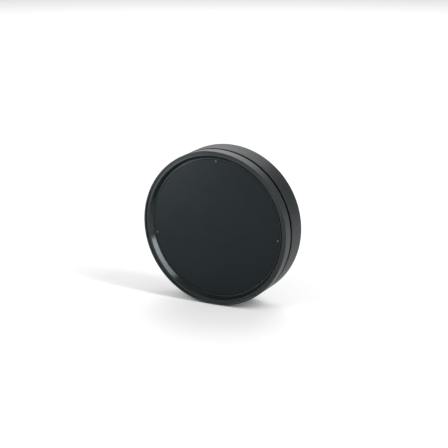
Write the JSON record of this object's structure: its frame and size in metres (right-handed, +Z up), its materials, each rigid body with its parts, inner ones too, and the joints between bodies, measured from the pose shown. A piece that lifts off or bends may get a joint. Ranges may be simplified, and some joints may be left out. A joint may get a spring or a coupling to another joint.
{
  "type": "survey prism",
  "caption": "Flat round survey retroreflector: glass corner cubes in a black housing with a threaded back, under a push-on cover.",
  "frame": {"origin": "middle of the back face, at the mouth of the pole thread", "axes": "the glass and the cover face -Y, the pole thread opens at +Y, +Z is up and +X is to the right seen from the front"},
  "size_m": [0.07, 0.0166, 0.07],
  "materials": {
    "black_anodised": "satin black anodised",
    "black_face": "fine satin black",
    "bright_steel": "machined stainless",
    "prism_glass": "polished clear",
    "seal_rubber": "matt black",
    "cushion_silicone": "matt grey",
    "liner_foam": "soft charcoal foam",
    "target_plastic": "matt yellow"
  },
  "bodies": {
    "housing": {"housing_shell": "black_anodised", "back_plate": "black_anodised", "back_gasket": "seal_rubber", "back_screws": "bright_steel", "mount_insert": "bright_steel", "insert_o_ring": "seal_rubber", "insert_dowels": "bright_steel", "prism_holder": "black_anodised", "corner_cube_1": "prism_glass", "corner_cube_2": "prism_glass", "corner_cube_3": "prism_glass", "corner_cube_4": "prism_glass", "corner_cube_5": "prism_glass", "corner_cube_6": "prism_glass", "corner_cube_7": "prism_glass", "corner_cube_8": "prism_glass", "prism_cushion_1": "cushion_silicone", "prism_cushion_2": "cushion_silicone", "prism_cushion_3": "cushion_silicone", "prism_cushion_4": "cushion_silicone", "prism_cushion_5": "cushion_silicone", "prism_cushion_6": "cushion_silicone", "prism_cushion_7": "cushion_silicone", "prism_cushion_8": "cushion_silicone", "prism_gasket": "seal_rubber", "clamp_plate": "black_anodised", "clamp_screws": "bright_steel", "aiming_disc": "target_plastic", "aiming_disc_screw": "bright_steel"},
    "cap_seal": {"cap_o_ring": "seal_rubber"},
    "cap": {"cap_ring": "black_anodised", "cap_face": "black_face", "cap_face_pins": "bright_steel", "cap_liner": "liner_foam", "cap_gasket": "seal_rubber"}
  },
  "joints": [
    {"name": "cap_pull", "type": "slide", "parent": "housing", "child": "cap_seal", "axis": [0, -1, 0], "range_m": [0, 0.04]},
    {"name": "cap_turn", "type": "hinge", "parent": "cap_seal", "child": "cap", "pos_m": [0, 0, 0], "axis": [0, 1, 0], "continuous": true}
  ]
}
